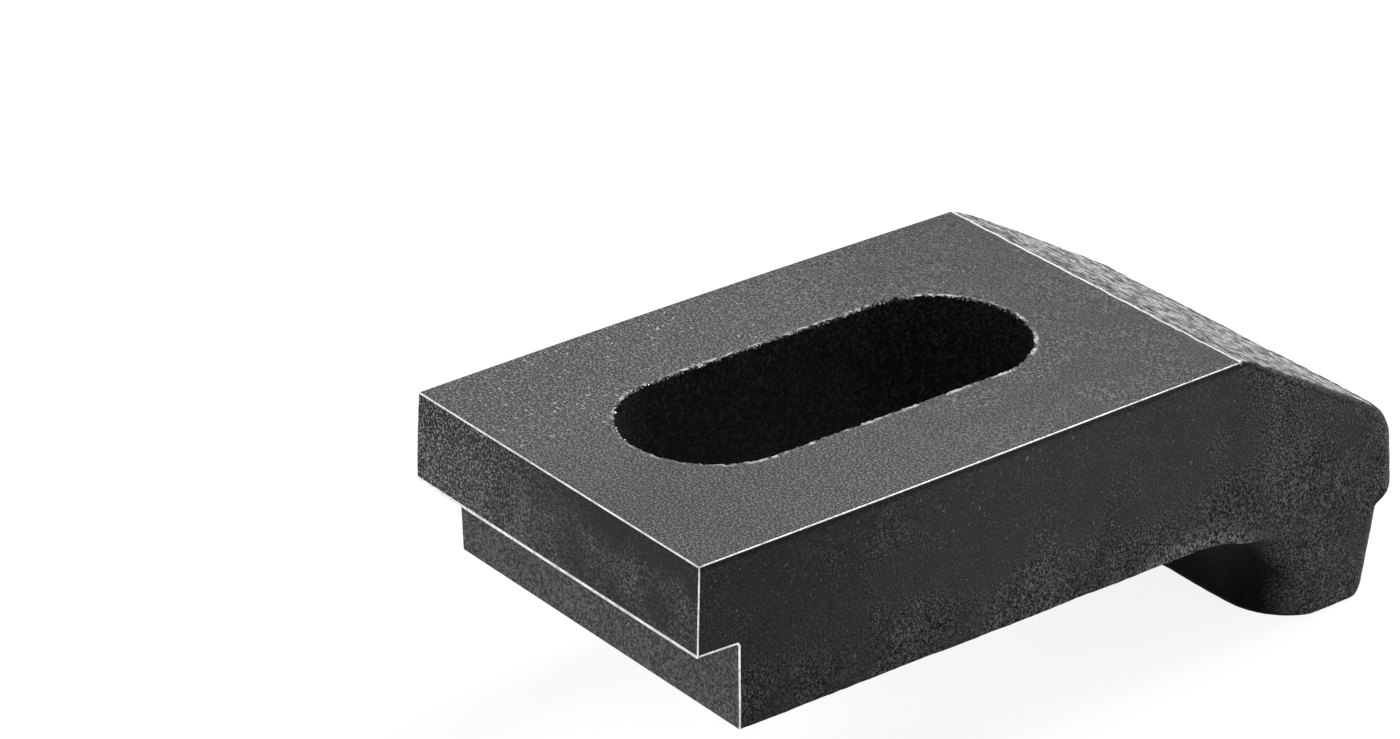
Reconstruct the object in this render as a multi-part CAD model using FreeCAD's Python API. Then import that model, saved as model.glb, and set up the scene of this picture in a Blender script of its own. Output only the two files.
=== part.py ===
import FreeCAD, Part
import math
import os

# Strap clamp: a drop forging in steel, with its top, its hooked heel and its bolt slot milled
# afterwards. Y runs along the clamp towards the nose, X across it and Z up. The origin is in
# the middle of the slot, level with the milled top, where the washer bears.
# Lengths are in millimetres, slopes and leans in degrees.

# Body
body_width = 40.8
body_height = 17.2
heel_to_slot = 30.4
slot_to_crest = 31.2
milling_stock = 1.5

# The two dies part at this depth, and every forged side leans in above and below it
parting_depth = 14.0
die_draft = 1.5
forged_edge_radius = 1.5

# Bolt slot
slot_width = 17.5
slot_length = 43.0

# Hooked heel: the lip bears down on a flange, and the block under it stops against its edge
lip_height = 8.7
lip_reach = 4.5
lip_slope = 2.5

# Ramp from the milled top down to the nose, with an easier lead-in behind the crest
lead_slope = 20.0
lead_run = 2.2
lead_radius = 12.0
ramp_run = 20.8
ramp_drop = 12.1

# Blunt front band, and the step under it where the flash was trimmed off
band_height = 7.0
band_lean = 5.0
nose_corner_radius = 3.0
step_depth = 1.6
step_slope = 20.0

# Foot: a flat-soled block whose back flares into the underside
foot_drop = 12.3
foot_length = 12.2
foot_rake = 9.0
foot_corner_radius = 6.0
toe_corner_radius = 3.0
arch_radius = 11.0
sole_edge_radius = 0.7

# Places that follow from the sizes
heel_y = -heel_to_slot
notch_y = heel_y + lip_reach
crest_y = slot_to_crest
underside_z = -body_height
sole_z = underside_z - foot_drop
band_foot_z = -ramp_drop - band_height


def fall(run, angle):
    """How far a face at this angle falls away over a run."""
    return run * math.tan(math.radians(angle))


nose_y = crest_y + ramp_run + fall(band_height, band_lean)
shelf_z = band_foot_z - fall(step_depth, step_slope)
toe_y = nose_y - step_depth - fall(shelf_z - sole_z, foot_rake)
foot_back_y = toe_y - foot_length
corner_y = foot_back_y + foot_corner_radius


def half_width(z):
    """Half the width across the drafted sides at a height."""
    return body_width / 2 - fall(abs(z + parting_depth), die_draft)


def rounded_outline(corners):
    """Closed wire through (y, z, radius) corners; a radius is cut back where its runs are short."""
    points = [FreeCAD.Vector(0, y, z) for y, z, radius in corners]
    count = len(points)
    halves = []
    for i in range(count):
        back = points[i - 1] - points[i]
        ahead = points[(i + 1) % count] - points[i]
        halves.append(back.getAngle(ahead) / 2)
    reaches = [corner[2] / math.tan(half) for corner, half in zip(corners, halves)]
    shares = []
    for i in range(count):
        run = points[i].distanceToPoint(points[(i + 1) % count])
        wanted = reaches[i] + reaches[(i + 1) % count]
        shares.append(min(1.0, run / wanted) if wanted > 0 else 1.0)
    edges = []
    last_end = None
    first_start = None
    for i, point in enumerate(points):
        back = (points[i - 1] - point).normalize()
        ahead = (points[(i + 1) % count] - point).normalize()
        reach = reaches[i] * min(shares[i - 1], shares[i])
        start = point + back * reach
        end = point + ahead * reach
        if last_end and last_end.distanceToPoint(start) > 1e-6:
            edges.append(Part.LineSegment(last_end, start).toShape())
        if reach > 0:
            radius = reach * math.tan(halves[i])
            bulge = radius / math.sin(halves[i]) - radius
            middle = point + (back + ahead).normalize() * bulge
            edges.append(Part.Arc(start, middle, end).toShape())
        last_end = end
        first_start = first_start or start
    edges.append(Part.LineSegment(last_end, first_start).toShape())
    return Part.Wire(edges)


def across(corners, width):
    """A side view carried across the clamp, centred on it."""
    face = Part.Face(rounded_outline(corners))
    face.translate(FreeCAD.Vector(-width / 2, 0, 0))
    return face.extrude(FreeCAD.Vector(width, 0, 0))


def drafted_sides():
    """Everything between the two sides, which are widest where the dies part."""
    levels = [milling_stock, -parting_depth, sole_z]
    right = [FreeCAD.Vector(half_width(z), heel_y, z) for z in levels]
    left = [FreeCAD.Vector(-half_width(z), heel_y, z) for z in reversed(levels)]
    face = Part.Face(Part.makePolygon(right + left + right[:1]))
    return face.extrude(FreeCAD.Vector(0, nose_y - heel_y, 0))


def side_corners(solid):
    """The two upright edges where the front of a block meets the clamp's sides."""
    chosen = []
    for edge in solid.Edges:
        faces = solid.ancestorsOfType(edge, Part.Face)
        flat = all(isinstance(face.Surface, Part.Plane) for face in faces)
        normals = [face.normalAt(0, 0) for face in faces]
        side = any(abs(normal.x) > 0.9 for normal in normals)
        front = any(normal.y > 0.9 for normal in normals)
        if flat and side and front:
            chosen.append(edge)
    return chosen


def ramp_rim(solid):
    """The edges all round the ramp and its lead-in, up to the stock on the top."""
    chosen = []
    for edge in solid.Edges:
        faces = solid.ancestorsOfType(edge, Part.Face)
        sloping = [0.4 < face.normalAt(0, 0).z < 0.97 for face in faces]
        below_stock = edge.BoundBox.ZMin < milling_stock - 0.01
        if sloping.count(True) == 1 and below_stock:
            chosen.append(edge)
    return chosen


def sole_rim(solid):
    """The edges all round the flat sole."""
    return [edge for edge in solid.Edges if edge.BoundBox.ZMax < sole_z + 0.01]


def bar():
    """Body, ramp and band, with stock left on top for milling."""
    stock_y = crest_y - milling_stock / math.tan(math.radians(lead_slope))
    shelf_root_y = (corner_y + toe_y) / 2
    outline = [
        (heel_y, milling_stock, 0),
        (stock_y, milling_stock, 0),
        (crest_y + lead_run, -fall(lead_run, lead_slope), lead_radius),
        (crest_y + ramp_run, -ramp_drop, 0),
        (nose_y, band_foot_z, 0),
        (shelf_root_y, band_foot_z - fall(nose_y - shelf_root_y, step_slope), 0),
        (shelf_root_y, underside_z, 0),
        (heel_y, underside_z, 0),
    ]
    solid = across(outline, body_width).common(drafted_sides())
    solid = solid.makeFillet(nose_corner_radius, side_corners(solid))
    return solid.makeFillet(forged_edge_radius, ramp_rim(solid))


def foot():
    """Drafted block under the nose; its back and rear corners flare into the underside."""
    root_z = underside_z + forged_edge_radius
    spread = fall(foot_drop, die_draft)
    flare_end = foot_corner_radius + spread + 1.2 * arch_radius
    corner_x = half_width(sole_z) - foot_corner_radius
    front = [
        (toe_y + fall(root_z - sole_z, foot_rake), root_z, 0),
        (toe_y, sole_z, 0),
    ]
    back = across(
        front
        + [
            (foot_back_y, sole_z, 0),
            (foot_back_y - spread, underside_z, arch_radius),
            (corner_y - flare_end, underside_z, 0),
            (corner_y - flare_end, root_z, 0),
        ],
        2 * corner_x,
    )
    block = across(front + [(corner_y, sole_z, 0), (corner_y, root_z, 0)], body_width)
    flare = Part.Face(
        rounded_outline([
            (0, root_z, 0),
            (0, sole_z, 0),
            (-foot_corner_radius, sole_z, 0),
            (-foot_corner_radius - spread, underside_z, arch_radius),
            (-flare_end, underside_z, 0),
            (-flare_end, root_z, 0),
        ])
    )
    corners = []
    for side in (-1, 1):
        corner = flare.revolve(FreeCAD.Vector(0, 0, 0), FreeCAD.Vector(0, 0, 1), side * 90)
        corner.translate(FreeCAD.Vector(side * corner_x, corner_y, 0))
        corners.append(corner)
    solid = back.fuse([block] + corners).common(drafted_sides()).removeSplitter()
    solid = solid.makeFillet(toe_corner_radius, side_corners(solid))
    return solid.makeFillet(sole_edge_radius, sole_rim(solid))


def top_cut():
    """Stock that is milled off above the flat top."""
    corner = FreeCAD.Vector(-body_width / 2, heel_y, 0)
    return Part.makeBox(body_width, nose_y - heel_y, 2 * milling_stock, corner)


def notch_cut():
    """What is milled away under the lip; its roof follows the slope of the lip's underside."""
    rise = fall(lip_reach, lip_slope)
    corners = [
        (heel_y - lip_reach, -lip_height + rise, 0),
        (notch_y, -lip_height - rise, 0),
        (notch_y, sole_z, 0),
        (heel_y - lip_reach, sole_z, 0),
    ]
    return across(corners, 2 * body_width)


def slot_cut():
    """The milled bolt slot, straight sided with half-round ends, right through the body."""
    radius = slot_width / 2
    half_run = slot_length / 2 - radius
    base = FreeCAD.Vector(0, 0, sole_z)
    depth = 2 * milling_stock - sole_z
    run = Part.makeBox(slot_width, 2 * half_run, depth, base - FreeCAD.Vector(radius, half_run, 0))
    ends = [
        Part.makeCylinder(radius, depth, base + FreeCAD.Vector(0, side * half_run, 0))
        for side in (-1, 1)
    ]
    return run.fuse(ends).removeSplitter()


def clamp_strap():
    """The finished clamp: the forging less its three milled cuts."""
    forging = bar().fuse(foot()).removeSplitter()
    return forging.cut([top_cut(), notch_cut(), slot_cut()]).removeSplitter()


os.makedirs("parts", exist_ok=True)
clamp_strap().exportStep("parts/clamp_strap.step")
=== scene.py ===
import bpy, bmesh, math, random
from mathutils import Vector, Matrix, noise
from mathutils.geometry import delaunay_2d_cdt


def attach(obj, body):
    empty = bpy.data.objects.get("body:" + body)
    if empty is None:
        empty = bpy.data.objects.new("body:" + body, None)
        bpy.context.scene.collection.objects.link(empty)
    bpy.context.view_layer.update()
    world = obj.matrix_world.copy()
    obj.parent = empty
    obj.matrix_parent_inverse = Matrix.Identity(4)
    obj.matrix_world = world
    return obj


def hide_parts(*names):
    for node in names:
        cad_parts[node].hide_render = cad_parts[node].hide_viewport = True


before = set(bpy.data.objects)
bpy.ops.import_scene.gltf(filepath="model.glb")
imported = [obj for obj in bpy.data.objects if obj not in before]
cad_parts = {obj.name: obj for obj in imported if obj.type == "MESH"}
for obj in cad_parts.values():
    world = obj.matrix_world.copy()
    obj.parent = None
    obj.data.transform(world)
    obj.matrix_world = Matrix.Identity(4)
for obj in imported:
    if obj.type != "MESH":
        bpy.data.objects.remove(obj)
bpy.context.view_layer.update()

# --- The clamp's forging and its milled cuts -------------------------------------------------
# One steel drop forging, blackened. Its flat top, hooked heel and bolt slot are milled; the
# ramp, band, foot and sides keep the skin of the dies. Lengths here are in millimetres, in the
# CAD frame: Y along the clamp towards the nose, Z up, origin in the slot on the top face.
MM = 0.001
HEEL_Y, NOTCH_Y, CREST_Y = -30.4, -25.9, 31.2
NOTCH_Z, LIP_Z, LIP_RUBBED_Z = -9.15, -8.97, -8.53
UNDERSIDE_Z, SOLE_Z = -17.2, -29.5
LEAD_Y, LEAD_Z = CREST_Y + 2.3, -0.86
BROW_Y, BROW_Z = 51.9, -11.75
NOSE_Y, BAND_FOOT_Z = 52.6, -19.6
SHELF_ROOT_Y, SHELF_ROOT_Z = 50.85, -20.5
TOE_Y, FOOT_BACK_Y = 49.45, 36.8
FOOT_CORNER, TOE_CORNER, ARCH = 6.8, 2.6, 11.0
CORNER_Y = FOOT_BACK_Y + FOOT_CORNER
SLOT_X, SLOT_RADIUS, SLOT_HALF_RUN = -0.12, 8.75, 12.75

# How far apart the mesh's points are along the outline, across the body and on the sides
OUTLINE_STEP, ACROSS_STEP = 0.55, 0.75
SIDE_STEP = OUTLINE_STEP * 1.15

# Surface kinds, in the order of the material slots
TOP, HEEL, STEP, RAMP, SKIN, WALL, RUBBED, BURR = range(8)
MILLED = (TOP, HEEL, STEP)


def clamped(t):
    """A share, held between 0 and 1."""
    return min(1.0, max(0.0, t))


def eased(t):
    """Goes smoothly from 0 to 1."""
    t = clamped(t)
    return t * t * (3 - 2 * t)


def near_side(z, y):
    """Half width on the +X side, a little waisted at half height and narrower at the crest."""
    waisted = 20.27 + 0.07 * math.cos(2 * math.pi * z / 17.0) if z > -17.0 else 20.34
    return waisted - 0.25 * eased((y + 15.0) / 46.0) * max(0.0, 1 + z / 6.0)


def far_side(z, y):
    """Half width on the -X side, which bows out at the top and leans in below its widest line."""
    widest_z = -9.0
    if z > widest_z:
        bow = 0.25 * eased((y - 30.4) / 2.0)
        bow += 0.35 * math.sin(math.pi * clamped((y - HEEL_Y) / (CREST_Y - HEEL_Y)))
        depth = z / widest_z
        return 19.85 + 0.5 * math.sin(math.pi / 2 * clamped(depth)) + bow * (1 - depth)
    return 20.35 - 0.06 * (widest_z - z) * clamped((20.0 - y) / 20.0)


def outline():
    """Side view as (y, z, corner radius, kind of the run after it, edge radius, inward y, z)."""
    ramp = (-0.52, -0.85)
    return [
        (HEEL_Y, 0.0, 0.11, TOP, 0.1, 0.0, -1.0),
        (CREST_Y, 0.0, 0.8, RAMP, 0.35, -0.3, -0.95),
        (LEAD_Y, LEAD_Z, 13.0, RAMP, 1.0, *ramp),
        (BROW_Y, BROW_Z, 4.5, SKIN, 0.0, *ramp),
        (NOSE_Y, BAND_FOOT_Z, 1.0, SKIN, 0.0, 0.0, 1.0),
        (SHELF_ROOT_Y, SHELF_ROOT_Z, 0.9, SKIN, 0.0, 0.0, 1.0),
        (TOE_Y, SOLE_Z, 1.2, SKIN, 0.35, 0.0, 1.0),
        (FOOT_BACK_Y, SOLE_Z, 0.8, SKIN, 0.0, 0.0, 1.0),
        (FOOT_BACK_Y - 0.32, UNDERSIDE_Z - 0.62, ARCH, SKIN, 0.06, 0.0, 1.0),
        (NOTCH_Y, UNDERSIDE_Z - 0.08, 0.06, STEP, 0.12, 1.0, 0.0),
        (NOTCH_Y, NOTCH_Z, 0.15, STEP, 0.4, 0.0, 1.0),
        (HEEL_Y, LIP_Z, 0.25, RUBBED, 0.14, 1.0, 0.0),
        (HEEL_Y, LIP_RUBBED_Z, 0.0, HEEL, 0.14, 1.0, 0.0),
    ]


def corner_arcs(corners):
    """Start, end, centre and turn of the arc at each corner; a sharp corner has no turn."""
    points = [Vector(corner[:2]) for corner in corners]
    arcs = []
    for i, (point, corner) in enumerate(zip(points, corners)):
        radius = corner[2]
        if radius == 0:
            arcs.append((point, point, point, 0.0))
            continue
        back, ahead = points[i - 1] - point, points[(i + 1) % len(points)] - point
        half = back.angle(ahead) / 2
        reach = radius / math.tan(half)
        back, ahead = back.normalized(), ahead.normalized()
        centre = point + (back + ahead).normalized() * radius / math.sin(half)
        arcs.append((point + back * reach, point + ahead * reach, centre, math.pi - 2 * half))
    return arcs


def walk(corners, step):
    """Points along the rounded outline, each with its kind, edge radius and inward direction."""
    arcs = corner_arcs(corners)
    edged = (*MILLED, RAMP, RUBBED)
    made = []
    for i, (start, end, centre, turn) in enumerate(arcs):
        before, after = corners[i - 1], corners[i]
        radius = after[2]
        parts = max(3, round(radius * turn / step)) if turn > 0.02 else 0
        # A small corner between two worked faces is rubbed bright, but not within the notch
        rubbed = 0 < radius < 0.9 and before[3] in edged and after[3] in edged
        rubbed = rubbed and not (before[3] == STEP and after[3] == STEP)
        side = 1 if (start - centre).cross(end - centre) > 0 else -1
        for k in range(parts + 1):
            t = k / max(1, parts)
            arm = Matrix.Rotation(side * turn * t, 2) @ (start - centre)
            mix = [a * (1 - t) + b * t for a, b in zip(before[4:7], after[4:7])]
            kind = before[3] if t < 0.5 and parts else after[3]
            made.append((centre + arm, RUBBED if rubbed and k < parts else kind, *mix))
        following = arcs[(i + 1) % len(arcs)][0]
        parts = max(1, round((following - end).length / step))
        for k in range(1, parts):
            made.append((end.lerp(following, k / parts), *after[3:7]))
    return made


def rounding(radius, d):
    """How far a surface has fallen at a distance from the edge it rounds into."""
    if d >= radius or radius <= 0:
        return 0.0
    return radius - math.sqrt(radius * radius - (radius - d) ** 2)


def stations():
    """Distances from a side at which the outline is repeated, closer together near the edge."""
    made = [0.0, 0.03, 0.07, 0.13, 0.25, 0.45, 0.7, 1.0, 1.35, 1.75, 2.2, 2.75, 3.4, 4.1, 4.8, 5.4]
    while made[-1] < 20.0 - ACROSS_STEP:
        made.append(made[-1] + ACROSS_STEP)
    return made


def placed(point, radius, inward_y, inward_z, side, d):
    """Where an outline point lies at a distance in from one side."""
    y, z = point
    width = near_side(z, y) if side > 0 else far_side(z, y)
    past = max(0.0, FOOT_CORNER - d)
    reach = CORNER_Y - y
    front = TOE_CORNER * (eased((y - 45.0) / 6.0) if z > BROW_Z - 2 else 1.0)
    if z < SOLE_Z + 1.0:
        # The sole turns a quarter round at each rear corner
        back = FOOT_CORNER - math.sqrt(FOOT_CORNER ** 2 - past ** 2)
        y += back * clamped(reach / FOOT_CORNER)
        front *= clamped(-reach / (TOE_Y - CORNER_Y))
    elif z < UNDERSIDE_Z + 0.6 and reach > 0:
        # So does the flare above it, which also softens into the sides
        if reach < 20:
            y += reach - math.sqrt(max(0.0, reach * reach - past * past))
            soft = 2.4 * math.sin(math.pi * clamped((reach - FOOT_CORNER) / 6.0))
            y += 0.7 * rounding(soft, d)
            z += 0.5 * rounding(soft, d)
        front = 0.0
    if y > 40:
        y -= rounding(front, d)
    fall = rounding(radius, d)
    return Vector((side * (width - d), y + inward_y * fall, z + inward_z * fall))


def face_kind(kind, edge_radius, y, side, edge_on):
    """Kind of a face on the sheet: rubbed or skinned over where it comes near a side."""
    worn = {TOP: 0.04, RUBBED: 0.06, HEEL: 0.06, STEP: 0.8 * edge_radius}
    if edge_on < worn.get(kind, 0.0):
        return RUBBED
    skinned = 0.3 + 0.45 * eased((y - CREST_Y) / 9.0)
    if kind == RAMP and edge_on < skinned and (side > 0 or edge_on < 0.9):
        return SKIN
    return kind


def add_forging(bm):
    """Sheet of outlines across the clamp, closed by its two sides."""
    ring = walk(outline(), OUTLINE_STEP)
    columns = [(1, d) for d in stations()] + [(-1, d) for d in reversed(stations())]
    grid = []
    for side, d in columns:
        grid.append([bm.verts.new(placed(point, *edge, side, d)) for point, _, *edge in ring])
    for i in range(len(columns) - 1):
        side, edge_on = columns[i][0], min(columns[i][1], columns[i + 1][1])
        for j, (point, kind, edge_radius, *_) in enumerate(ring):
            k = (j + 1) % len(ring)
            face = bm.faces.new((grid[i][j], grid[i][k], grid[i + 1][k], grid[i + 1][j]))
            face.material_index = face_kind(kind, edge_radius, point.x, side, edge_on)
    add_side(bm, 1, grid[0])
    add_side(bm, -1, grid[-1])


def inside(p, loop):
    """Whether a point is within a closed outline."""
    hit = False
    for a, b in zip([loop[-1]] + loop, loop):
        if (a.y > p.y) != (b.y > p.y) and p.x < (b.x - a.x) * (p.y - a.y) / (b.y - a.y) + a.x:
            hit = not hit
    return hit


def net_points(loop, side):
    """Points in rows over one side, a little out of line and clear of its rim."""
    random.seed(4 + side)
    shift, clear = 0.1, 0.4
    made = []
    y = HEEL_Y + SIDE_STEP
    row = 0
    while y < NOSE_Y:
        z = SOLE_Z + SIDE_STEP * (0.5 if row % 2 else 1.0)
        while z < 0:
            p = Vector((y + random.uniform(-shift, shift), z + random.uniform(-shift, shift)))
            if inside(p, loop) and min((p - q).length for q in loop) > clear:
                made.append(p)
            z += SIDE_STEP
        y += SIDE_STEP * 0.87
        row += 1
    return made


def add_side(bm, side, rim):
    """One forged side: the rim's own points, filled with an even net of triangles."""
    loop = [Vector((v.co.y, v.co.z)) for v in rim]
    links = [(i, (i + 1) % len(loop)) for i in range(len(loop))]
    points, _, faces, origin, _, _ = delaunay_2d_cdt(
        loop + net_points(loop, side), links, [], 1, 1e-5)
    made = []
    for p, sources in zip(points, origin):
        own = [i for i in sources if i < len(loop)]
        width = near_side(p.y, p.x) if side > 0 else far_side(p.y, p.x)
        made.append(rim[own[0]] if own else bm.verts.new((side * width, p.x, p.y)))
    for face in faces:
        corners = [made[i] for i in face]
        # Rim points that lie on each other make slivers, which are left out
        if len(set(corners)) == 3 and not bm.faces.get(corners):
            bm.faces.new(corners).material_index = SKIN


def slot_rim():
    """Round the slot: the way outwards, the place, and how far the cutter tore the rim there."""
    turn_parts, run_parts = 96, 90
    made = []
    for end in (1, -1):
        for k in range(turn_parts + 1):
            a = math.pi * k / turn_parts
            out = Vector((math.cos(a) * end, math.sin(a) * end))
            made.append((out, Vector((0.0, SLOT_HALF_RUN * end)) + out * SLOT_RADIUS))
        for k in range(1, run_parts):
            y = SLOT_HALF_RUN * end * (1 - 2 * k / run_parts)
            made.append((Vector((-end, 0.0)), Vector((-end * SLOT_RADIUS, y))))
    rim = []
    for out, at in made:
        slow = noise.noise(Vector((at.x * 0.9, at.y * 0.9, 7.0)))
        quick = noise.noise(Vector((at.x * 3.1, at.y * 3.1, 2.0)))
        torn = 0.1 * slow + (0.25 * quick if at.x > 0 else 0.95 * max(0.0, quick))
        rim.append((out, at + Vector((SLOT_X, 0.0)), torn))
    return rim


def slot_cutter():
    """The milled slot as a tool: straight sides, half-round ends and a broken, uneven rim."""
    # Heights, and how much wider than the slot the tool is there
    levels = [
        (1.0, 0.5), (0.02, 0.03), (-0.06, 0.0), (-0.16, -0.03), (-0.3, -0.04), (-1.0, -0.04),
        (-4.5, -0.04), (-8.5, -0.04), (-12.5, -0.04), (-17.0, -0.04), (-17.5, 0.25), (-18.5, 1.2),
    ]
    bm = bmesh.new()
    rim = slot_rim()
    rings = []
    for z, more in levels:
        share = clamped(1 + z)
        rings.append([bm.verts.new((*(at + out * (more + torn * share)), z))
                      for out, at, torn in rim])
    for a, b in zip(rings, rings[1:]):
        for i in range(len(a)):
            j = (i + 1) % len(a)
            bm.faces.new((a[i], a[j], b[j], b[i]))
    bm.faces.new(rings[0])
    bm.faces.new(list(reversed(rings[-1])))
    bmesh.ops.recalc_face_normals(bm, faces=bm.faces)
    for face in bm.faces:
        face.material_index = WALL
    mesh = bpy.data.meshes.new("slot_tool")
    bm.to_mesh(mesh)
    bm.free()
    return bpy.data.objects.new("slot_tool", mesh)


def slot_kind(centre, normal, kind):
    """Kind of a face by the slot: its wall, the burr round its top or the bevel at its foot."""
    past_run = max(0.0, abs(centre.y) - SLOT_HALF_RUN)
    gap = math.hypot(centre.x - SLOT_X, past_run) - SLOT_RADIUS
    upright = abs(normal.z)
    if gap < 0.02 and -17.6 < centre.z < 0.0 and upright < 0.3:
        return WALL
    if gap < 0.75 and centre.z > -0.6 and upright < 0.98:
        return BURR
    if gap < 0.75 and centre.z < -16.6 and 0.05 < upright < 0.98:
        return WALL
    return kind


def crest_wander(x):
    """How far the crest strays along Y at a place across the clamp."""
    slow = noise.noise(Vector((x * 0.5, 2, 3))) * 0.2
    return slow + noise.noise(Vector((x * 2.2, 5, 3))) * 0.09


def rough_skin(bm):
    """Gives the forged faces the slow unevenness of the dies; milled faces stay flat."""
    for v in bm.verts:
        kinds = {face.material_index for face in v.link_faces}
        p = v.co.copy()
        near_crest = max(0.0, 1 - abs(p.y - CREST_Y) / 1.2) * max(0.0, 1 + p.z / 1.5)
        if near_crest > 0 and kinds & {TOP, RAMP, RUBBED}:
            v.co.y += crest_wander(p.x) * near_crest
        if not kinds <= {RAMP, SKIN}:
            continue
        slow = noise.noise(p * 0.16 + Vector((3, 1, 5))) * 0.07
        fine = noise.noise(p * 0.75) * 0.03 + noise.noise(p * 1.6) * 0.025
        if kinds == {RAMP}:
            fine += noise.noise(p * 1.2 + Vector((9, 4, 2))) * 0.09
        v.co += v.normal * (slow + fine - 0.03)
        v.co.z = max(v.co.z, SOLE_Z)
        v.co.y = min(v.co.y, NOSE_Y)


def grain(tree, scale, detail=1.0, rough=0.5, stretch=(1, 1, 1)):
    """Noise over the piece's own coordinates, stretched along an axis if asked."""
    where = tree.nodes.new("ShaderNodeTexCoord")
    shifted = tree.nodes.new("ShaderNodeMapping")
    # Each size of grain starts elsewhere, or their cells line up and draw a line down the middle
    shifted.inputs["Location"].default_value = [scale * 1e-5] * 3
    shifted.inputs["Scale"].default_value = stretch
    field = tree.nodes.new("ShaderNodeTexNoise")
    field.inputs["Scale"].default_value = scale
    field.inputs["Detail"].default_value = detail
    field.inputs["Roughness"].default_value = rough
    tree.links.new(where.outputs["Object"], shifted.inputs["Vector"])
    tree.links.new(shifted.outputs["Vector"], field.inputs["Vector"])
    return field.outputs["Fac"]


def banded(tree, source, stops):
    """Greys read from a noise through a few stops."""
    band = tree.nodes.new("ShaderNodeValToRGB")
    while len(band.color_ramp.elements) < len(stops):
        band.color_ramp.elements.new(0.5)
    for mark, (at, tone) in zip(band.color_ramp.elements, stops):
        mark.position = at
        mark.color = (tone, tone, tone, 1)
    tree.links.new(source, band.inputs["Fac"])
    return band.outputs["Color"]


def mixed(tree, kind, factor, a, b):
    """Two colours mixed or laid over each other."""
    mix = tree.nodes.new("ShaderNodeMix")
    mix.data_type = "RGBA"
    mix.blend_type = kind
    for socket, value in ((mix.inputs[0], factor), (mix.inputs[6], a), (mix.inputs[7], b)):
        if isinstance(value, (float, tuple)):
            socket.default_value = value
        else:
            tree.links.new(value, socket)
    return mix.outputs[2]


def steel(name, tones, spread, grit, patches, relief, gloss, rough=None, stretch=(1, 1, 1)):
    """Blackened steel: fine grit over slow patches, with relief from the same grit."""
    material = bpy.data.materials.new(name)
    material.use_nodes = True
    tree = material.node_tree
    shader = tree.nodes["Principled BSDF"]
    shader.inputs["Specular IOR Level"].default_value = gloss
    small = grain(tree, grit, 2.5, 0.65, stretch)
    stops = zip((0.5 - spread, 0.5, 0.5 + spread), tones)
    patch_size, patch_tone = patches
    cloud = banded(tree, grain(tree, patch_size, 4.0, 0.6), [(0.38, patch_tone), (0.62, 1.0)])
    colour = mixed(tree, "MULTIPLY", 1.0, banded(tree, small, list(stops)), cloud)
    tree.links.new(colour, shader.inputs["Base Color"])
    if rough:
        shine = banded(tree, small, [(0.3, rough[1]), (0.7, rough[0])])
        tree.links.new(shine, shader.inputs["Roughness"])
    bumps = tree.nodes.new("ShaderNodeBump")
    bumps.inputs["Strength"].default_value = 1.0
    bumps.inputs["Distance"].default_value = relief * MM
    tree.links.new(small, bumps.inputs["Height"])
    tree.links.new(bumps.outputs["Normal"], shader.inputs["Normal"])
    return material


def span(tree, source, low, high):
    """0 to 1 while a value goes from low to high."""
    made = tree.nodes.new("ShaderNodeMapRange")
    made.interpolation_type = "SMOOTHSTEP"
    made.inputs["From Min"].default_value = min(low, high)
    made.inputs["From Max"].default_value = max(low, high)
    if low > high:
        made.inputs["To Min"].default_value = 1.0
        made.inputs["To Max"].default_value = 0.0
    tree.links.new(source, made.inputs["Value"])
    return made.outputs["Result"]


def sums(tree, kind, *values):
    """One number from others, by one of the shader's sums."""
    node = tree.nodes.new("ShaderNodeMath")
    node.operation = kind
    for socket, value in zip(node.inputs, values):
        if isinstance(value, float):
            socket.default_value = value
        else:
            tree.links.new(value, socket)
    return node.outputs[0]


def product(tree, first, *others):
    """Several factors in one."""
    for other in others:
        first = sums(tree, "MULTIPLY", first, other)
    return first


# The piece's own axes
ACROSS, ALONG, UP = 0, 1, 2


def place(tree, axis):
    """One of the piece's own coordinates, in metres."""
    where = tree.nodes.new("ShaderNodeTexCoord")
    split = tree.nodes.new("ShaderNodeSeparateXYZ")
    tree.links.new(where.outputs["Object"], split.inputs[0])
    return split.outputs[axis]


def facing(tree, axis):
    """How far the surface faces along one of the piece's own axes."""
    surface = tree.nodes.new("ShaderNodeNewGeometry")
    split = tree.nodes.new("ShaderNodeSeparateXYZ")
    tree.links.new(surface.outputs["Normal"], split.inputs[0])
    return split.outputs[axis]


def zone(tree, axis, low, high):
    """0 to 1 while a place along an axis goes from low to high, in millimetres."""
    return span(tree, place(tree, axis), low * MM, high * MM)


def turned(tree, axis, low, high):
    """0 to 1 while the surface turns towards an axis."""
    return span(tree, facing(tree, axis), low, high)


def offset(tree, axis, start):
    """Run along an axis from a start in millimetres, in metres."""
    return sums(tree, "SUBTRACT", place(tree, axis), start * MM)


def far_from(tree, a, b):
    """Distance that two runs at right angles make."""
    squares = sums(tree, "ADD", product(tree, a, a), product(tree, b, b))
    return sums(tree, "SQRT", squares)


def toned(material, factor, tone, kind="MULTIPLY"):
    """Darkens or lightens a finish where a factor says so."""
    tree = material.node_tree
    shader = tree.nodes["Principled BSDF"]
    colour = shader.inputs["Base Color"].links[0].from_socket
    laid = mixed(tree, kind, factor, colour, (tone, tone, tone, 1))
    tree.links.new(laid, shader.inputs["Base Color"])


def flecked(material, size, share, tone, where=None):
    """Sparse grit of one tone over a finish, everywhere or where a factor says so."""
    tree = material.node_tree
    grit = span(tree, grain(tree, size), share, share + 0.06)
    toned(material, product(tree, grit, where) if where else grit, tone, "MIX")


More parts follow.
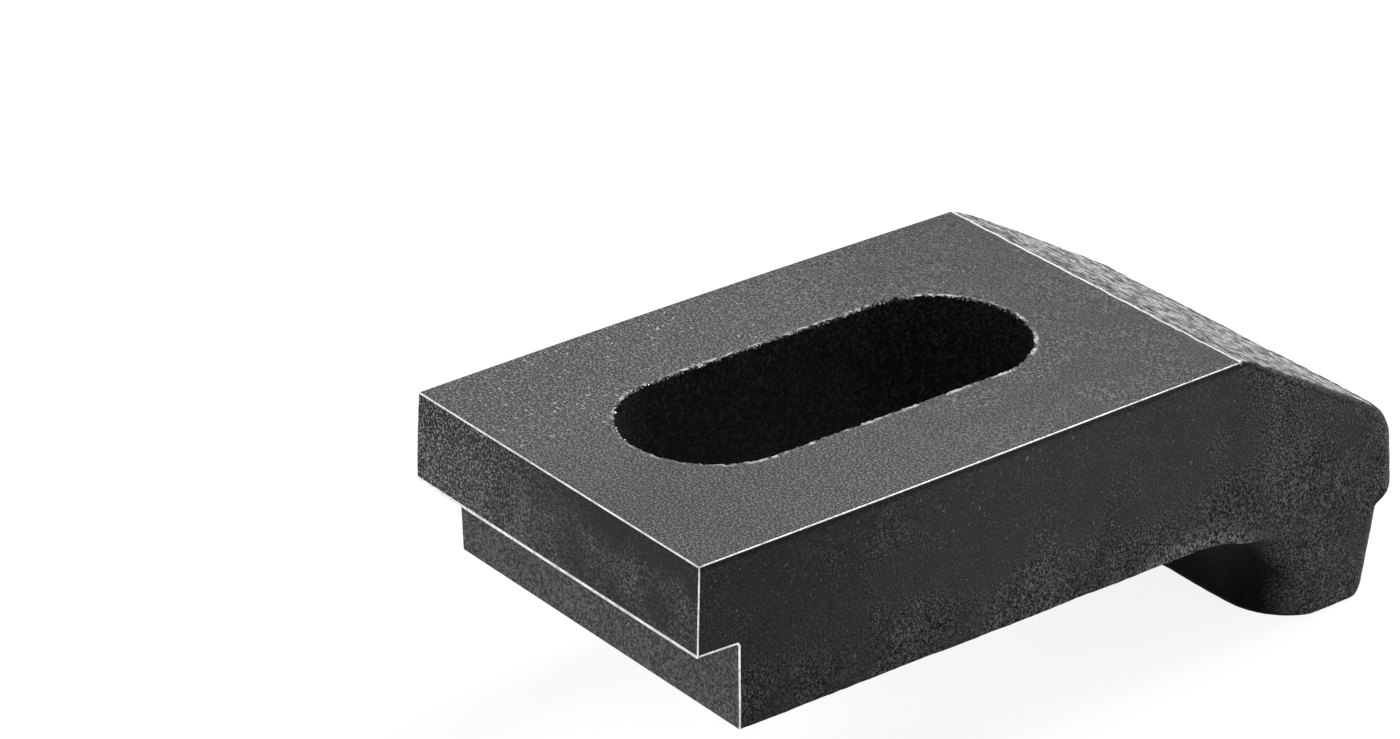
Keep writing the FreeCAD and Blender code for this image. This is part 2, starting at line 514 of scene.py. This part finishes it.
def pitted(material, size, low, high, tone, where=None, stretch=(1, 1, 1)):
    """Dark pits over a finish, where its grain falls from low to high."""
    tree = material.node_tree
    pits = span(tree, grain(tree, size, stretch=stretch), low, high)
    toned(material, product(tree, where, pits) if where else pits, tone)


def milled_top():
    """Grittier towards the far side, darker towards the crest and bright along the slot's rim."""
    top = steel(
        "milled_top", tones=(0.0, 0.05, 0.29), spread=0.115, grit=5000.0, patches=(70.0, 0.84),
        relief=0.06, gloss=0.35, rough=(0.45, 0.62))
    tree = top.node_tree
    flecked(top, 4300.0, 0.57, 0.31, zone(tree, ACROSS, 8, -14))
    pitted(top, 4300.0, 0.46, 0.36, 0.08)
    flecked(top, 2500.0, 0.7, 0.75, zone(tree, ACROSS, 2, -12))
    patches = span(tree, grain(tree, 170.0, 2.0, 0.5), 0.35, 0.55)
    worn = product(tree, zone(tree, ALONG, -6, 12), patches)
    pitted(top, 4600.0, 0.53, 0.42, 0.02, worn)
    flecked(top, 4800.0, 0.55, 0.34, worn)
    toned(top, zone(tree, ALONG, -11, 30), 0.47)
    toned(top, zone(tree, ACROSS, -6, -13), 0.84)
    from_middle = sums(tree, "ABSOLUTE", place(tree, ALONG))
    past_run = sums(tree, "MAXIMUM", sums(tree, "SUBTRACT", from_middle, SLOT_HALF_RUN * MM), 0.0)
    rim = far_from(tree, offset(tree, ACROSS, SLOT_X), past_run)
    rim = span(tree, rim, (SLOT_RADIUS + 0.5) * MM, (SLOT_RADIUS + 0.2) * MM)
    broken = span(tree, grain(tree, 600.0, 2.0, 0.6), 0.4, 0.6)
    flecked(top, 2600.0, 0.42, 0.7, product(tree, rim, broken, zone(tree, ALONG, -30, -12)))
    return top


def milled_heel():
    """Dark under the top edge, and gritty low down on the far half."""
    heel = steel(
        "milled_heel", tones=(0.0, 0.042, 0.36), spread=0.13, grit=4600.0, patches=(260.0, 0.2),
        relief=0.08, gloss=0.25, rough=(0.5, 0.66))
    toned(heel, zone(heel.node_tree, UP, -4.6, -1.0), 0.2)
    flecked(heel, 4300.0, 0.55, 0.6, zone(heel.node_tree, ACROSS, 8, -18))
    return heel


def rubbed_ramp():
    """Dark, with pits and grit in streaks; the streaks are polished, all but at the brow."""
    ramp = steel(
        "rubbed_ramp", tones=(0.0, 0.06, 0.3), spread=0.18, grit=1900.0, patches=(260.0, 0.7),
        relief=0.3, gloss=0.75, stretch=(0.5, 1, 1))
    tree = ramp.node_tree
    drawn_out = (0.4, 1, 1)
    gritty = span(tree, grain(tree, 1000.0, stretch=drawn_out), 0.42, 0.55)
    flecked(ramp, 1900.0, 0.56, 0.26, gritty)
    pitted(ramp, 1400.0, 0.5, 0.4, 0.2, stretch=drawn_out)
    brow = zone(tree, ALONG, 48.8, 49.5)
    streaks = grain(tree, 1250.0, 2.5, 0.65, (0.5, 1, 1))
    polish = banded(tree, streaks, [(0.44, 0.95), (0.55, 0.07)])
    polish = mixed(tree, "MIX", brow, polish, (0.95, 0.95, 0.95, 1))
    tree.links.new(polish, tree.nodes["Principled BSDF"].inputs["Roughness"])
    toned(ramp, brow, 0.85)
    toned(ramp, zone(tree, ALONG, 34.5, 32.5), 1.1)
    return ramp


def forged_skin():
    """Gritty with smoother patches and darker towards the heel; painted shade under the top edge
    and nearly black behind the foot, painted light where it faces the nose.
    """
    skin = steel(
        "forged_skin", tones=(0.0, 0.093, 0.39), spread=0.15, grit=5000.0, patches=(200.0, 0.65),
        relief=0.1, gloss=0.04, rough=(0.6, 0.75))
    tree = skin.node_tree
    # Smooth patches, more of them in the upper part of the body
    body = product(tree, zone(tree, UP, -14.5, -8), zone(tree, ALONG, 34, 22), 0.22)
    smooth = span(tree, sums(tree, "ADD", body, grain(tree, 150.0, 3.0, 0.6)), 0.42, 0.74)
    toned(skin, product(tree, smooth, 0.76), 0.09, "MIX")
    flecked(skin, 3400.0, 0.7, 0.36)
    # Painted shade under the top edge, darker towards the heel, and painted light where the
    # surface faces the nose
    toned(skin, zone(tree, UP, -0.9, -0.4), 0.55)
    toned(skin, zone(tree, ALONG, 8, -26), 0.62)
    toned(skin, turned(tree, ALONG, 0.05, 0.4), 1.3)
    # Coarse along the arch
    arch = far_from(tree, offset(tree, ALONG, 25.9), offset(tree, UP, -28.2))
    arch = span(tree, arch, 13.8 * MM, 11.2 * MM)
    flecked(skin, 3400.0, 0.52, 0.4, product(tree, arch, zone(tree, UP, -21, -19)))
    # Painted shade, nearly black, in the hollow behind the foot; darker on the shoulder where the
    # ramp rounds into the near side
    inwards = span(tree, sums(tree, "ABSOLUTE", facing(tree, ACROSS)), 0.995, 0.5)
    painted_hollow_shade = product(tree, inwards, zone(tree, UP, -16.8, -17.5), turned(tree, ALONG, 0.4, 0.1))
    toned(skin, painted_hollow_shade, 0.03)
    shoulder = product(tree, turned(tree, UP, 0.08, 0.35), turned(tree, ACROSS, 0.15, 0.45))
    toned(skin, shoulder, 0.45)
    return skin


def rubbed_edge():
    """Bare steel, duller along the top of the near side and at that end of the crest."""
    rubbed = steel(
        "rubbed_edge", tones=(0.6, 0.92, 1.0), spread=0.2, grit=2200.0, patches=(500.0, 0.8),
        relief=0.02, gloss=0.6, rough=(0.3, 0.5))
    tree = rubbed.node_tree
    tree.nodes["Principled BSDF"].inputs["Metallic"].default_value = 1.0
    side_on = product(tree, turned(tree, ACROSS, 0.2, 0.4), zone(tree, UP, -0.6, -0.3))
    toned(rubbed, side_on, 0.66)
    toned(rubbed, product(tree, side_on, zone(tree, ALONG, 0, 30)), 0.75)
    toned(rubbed, product(tree, zone(tree, ALONG, 30, 30.5), zone(tree, ACROSS, -4, 12)), 0.75)
    return rubbed


bare_edge = rubbed_edge()
finishes = {
    TOP: milled_top(),
    HEEL: milled_heel(),
    STEP: steel(
        "milled_step", tones=(0.0, 0.118, 0.38), spread=0.13, grit=4600.0, patches=(150.0, 0.8),
        relief=0.06, gloss=0.3, rough=(0.45, 0.62)),
    RAMP: rubbed_ramp(),
    SKIN: forged_skin(),
    # Near black: painted shade for the dark inside of the slot
    WALL: steel(
        "slot_wall_painted_shade", tones=(0.0, 0.004, 0.04), spread=0.14, grit=3000.0, patches=(200.0, 0.7),
        relief=0.03, gloss=0.1, rough=(0.6, 0.75)),
    RUBBED: bare_edge,
    BURR: steel(
        "slot_burr", tones=(0.0, 0.1, 0.85), spread=0.12, grit=2400.0, patches=(500.0, 0.5),
        relief=0.04, gloss=0.3, rough=(0.45, 0.6)),
}


def written(made, mesh):
    """The mesh, with a finished bmesh written into it; the bmesh is freed."""
    made.to_mesh(mesh)
    made.free()
    return mesh


bm = bmesh.new()
add_forging(bm)
bmesh.ops.recalc_face_normals(bm, faces=bm.faces)
body = bpy.data.objects.new("clamp_body", written(bm, bpy.data.meshes.new("clamp_body")))
tool = slot_cutter()
for blank in (body, tool):
    bpy.context.scene.collection.objects.link(blank)
    for kind in sorted(finishes):
        blank.data.materials.append(finishes[kind])
cut = body.modifiers.new("slot", "BOOLEAN")
cut.operation = "DIFFERENCE"
cut.solver = "EXACT"
cut.object = tool
bpy.context.view_layer.update()
milled = bpy.data.meshes.new_from_object(body.evaluated_get(bpy.context.evaluated_depsgraph_get()))
body.modifiers.clear()
body.data = milled
bpy.data.objects.remove(tool)

bm = bmesh.new()
bm.from_mesh(milled)
# The cut leaves out slivers at the foot's corners
gaps = [edge for edge in bm.edges if edge.is_boundary]
for face in bmesh.ops.holes_fill(bm, edges=gaps, sides=4)["faces"]:
    face.material_index = SKIN
bm.normal_update()
for face in bm.faces:
    face.material_index = slot_kind(face.calc_center_median(), face.normal, face.material_index)
rough_skin(bm)
bmesh.ops.transform(bm, matrix=Matrix.Scale(MM, 4), verts=bm.verts)
written(bm, milled)
milled.shade_smooth()
milled.set_sharp_from_angle(angle=math.radians(32))

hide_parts("clamp_strap")
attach(body, "root")

# --- Burr along the rims ----------------------------------------------------------------------
# Crumbs of torn steel that the cutter left on the slot's rim and along the crest, where the
# blacking has rubbed off them.


def rim_paths():
    """The slot's rim and the crest as a closed and an open line."""
    points = [Vector((*(at + out * (torn + 0.12)), -0.05)) for out, at, torn in slot_rim()]
    links = [(i, (i + 1) % len(points)) for i in range(len(points))]
    start, parts = len(points), 80
    for k in range(parts + 1):
        x = -19.5 + 39.5 * k / parts
        points.append(Vector((x, CREST_Y + crest_wander(x), -0.07)))
    links += [(start + k, start + k + 1) for k in range(parts)]
    mesh = bpy.data.meshes.new("burr_paths")
    mesh.from_pydata([p * MM for p in points], links, [])
    return bpy.data.objects.new("burr", mesh)


def burr_tree(finish):
    """Crumbs scattered along whatever line comes in."""
    tree = bpy.data.node_groups.new("burr_along_rims", "GeometryNodeTree")
    sockets = tree.interface
    sockets.new_socket("Line", in_out="INPUT", socket_type="NodeSocketGeometry")
    for name, value in (("Spacing", 0.00017), ("Spread", 0.00015), ("Crumb", 0.00007)):
        made = sockets.new_socket(name, in_out="INPUT", socket_type="NodeSocketFloat")
        made.default_value = value
    seed = sockets.new_socket("Seed", in_out="INPUT", socket_type="NodeSocketInt")
    seed.default_value = 11
    sockets.new_socket("Burr", in_out="OUTPUT", socket_type="NodeSocketGeometry")
    make, join = tree.nodes.new, tree.links.new
    given, result = make("NodeGroupInput"), make("NodeGroupOutput")

    def random_vector(low, high):
        """A vector that differs from crumb to crumb."""
        node = make("FunctionNodeRandomValue")
        node.data_type = "FLOAT_VECTOR"
        node.inputs[0].default_value = low
        node.inputs[1].default_value = high
        join(given.outputs["Seed"], node.inputs["Seed"])
        return node.outputs[0]

    curve = make("GeometryNodeMeshToCurve")
    join(given.outputs["Line"], curve.inputs["Mesh"])
    points = make("GeometryNodeCurveToPoints")
    points.mode = "LENGTH"
    join(curve.outputs["Curve"], points.inputs["Curve"])
    join(given.outputs["Spacing"], points.inputs["Length"])
    spread = make("ShaderNodeVectorMath")
    spread.operation = "SCALE"
    join(random_vector((-1, -1, -0.35), (1, 1, 0)), spread.inputs[0])
    join(given.outputs["Spread"], spread.inputs["Scale"])
    moved = make("GeometryNodeSetPosition")
    join(points.outputs["Points"], moved.inputs["Geometry"])
    join(spread.outputs[0], moved.inputs["Offset"])
    crumb = make("GeometryNodeMeshIcoSphere")
    join(given.outputs["Crumb"], crumb.inputs["Radius"])
    placed_on = make("GeometryNodeInstanceOnPoints")
    join(moved.outputs["Geometry"], placed_on.inputs["Points"])
    join(crumb.outputs["Mesh"], placed_on.inputs["Instance"])
    join(random_vector((0, 0, 0), (0.3, 0.3, 6.28)), placed_on.inputs["Rotation"])
    join(random_vector((0.1, 0.1, 0.1), (2.0, 2.0, 0.8)), placed_on.inputs["Scale"])
    real = make("GeometryNodeRealizeInstances")
    join(placed_on.outputs["Instances"], real.inputs["Geometry"])
    coat = make("GeometryNodeSetMaterial")
    coat.inputs["Material"].default_value = finish
    join(real.outputs["Geometry"], coat.inputs["Geometry"])
    join(coat.outputs["Geometry"], result.inputs["Burr"])
    return tree


burr = rim_paths()
bpy.context.scene.collection.objects.link(burr)
burr.modifiers.new("burr", "NODES").node_group = burr_tree(bare_edge)
bpy.context.view_layer.update()
crumbs = bpy.data.meshes.new_from_object(burr.evaluated_get(bpy.context.evaluated_depsgraph_get()))
burr.modifiers.clear()
burr.data = crumbs
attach(burr, "root")

# --- Studio ---------------------------------------------------------------------------------
# White sweep under the clamp's foot, one soft lamp from behind the nose and the camera at the
# photograph's angle.


def sees_backdrop(tree):
    """1 for the rays that look at the studio, 0 for those that light the object."""
    path = tree.nodes.new("ShaderNodeLightPath")
    either = sums(tree, "MAXIMUM", path.outputs["Is Camera Ray"], path.outputs["Is Glossy Ray"])
    return sums(tree, "MAXIMUM", either, path.outputs["Is Transmission Ray"])


def studio_paper():
    """Grey paper that takes the shadow, with a glow that makes it white to look at."""
    paper = bpy.data.materials.new("studio_paper")
    paper.use_nodes = True
    tree = paper.node_tree
    shader = tree.nodes["Principled BSDF"]
    shader.inputs["Base Color"].default_value = (0.25, 0.25, 0.25, 1)
    shader.inputs["Roughness"].default_value = 0.9
    glow = tree.nodes.new("ShaderNodeEmission")
    tree.links.new(product(tree, sees_backdrop(tree), 0.87), glow.inputs["Strength"])
    both = tree.nodes.new("ShaderNodeAddShader")
    tree.links.new(shader.outputs["BSDF"], both.inputs[0])
    tree.links.new(glow.outputs["Emission"], both.inputs[1])
    tree.links.new(both.outputs["Shader"], tree.nodes["Material Output"].inputs["Surface"])
    return paper


bpy.ops.mesh.primitive_plane_add(size=4.0, location=(0, 0, SOLE_Z * MM))
floor = bpy.context.object
floor.name = "studio_floor"
floor.data.materials.append(studio_paper())

world = bpy.data.worlds.new("studio")
bpy.context.scene.world = world
world.use_nodes = True
tree = world.node_tree
sky = tree.nodes["Background"]
sky.inputs["Color"].default_value = (1, 1, 1, 1)
level = tree.nodes.new("ShaderNodeMapRange")
level.inputs["To Min"].default_value = 0.5
level.inputs["To Max"].default_value = 1.0
tree.links.new(sees_backdrop(tree), level.inputs["Value"])
tree.links.new(level.outputs["Result"], sky.inputs["Strength"])

key = bpy.data.lights.new("key_lamp", "AREA")
key.size = 0.35
key.energy = 3.0
key_lamp = bpy.data.objects.new("key_lamp", key)
key_lamp.location = (-0.1, 0.5, 0.5)
towards = Vector((0, 0.02, -0.01)) - key_lamp.location
key_lamp.rotation_euler = towards.to_track_quat("-Z", "Y").to_euler()
bpy.context.scene.collection.objects.link(key_lamp)

photo_width, focal_pixels = 1400, 5367.0
camera_data = bpy.data.cameras.new("camera")
camera = bpy.data.objects.new("camera", camera_data)
bpy.context.scene.collection.objects.link(camera)
bpy.context.scene.camera = camera
camera_data.sensor_width = 36.0
camera_data.lens = focal_pixels / photo_width * camera_data.sensor_width
camera_data.clip_start = 0.01
camera_data.clip_end = 20
right = Vector((0.61496029, 0.78854836, 0.00391443))
down = Vector((0.35869628, -0.27530660, -0.89193232))
ahead = Vector((-0.70225410, 0.54990705, -0.45215199))
pose = Matrix((right, -down, -ahead)).transposed().to_4x4()
pose.translation = Vector((0.32688, -0.27039, 0.21575))
camera.matrix_world = pose
bpy.context.scene.view_settings.view_transform = "Standard"
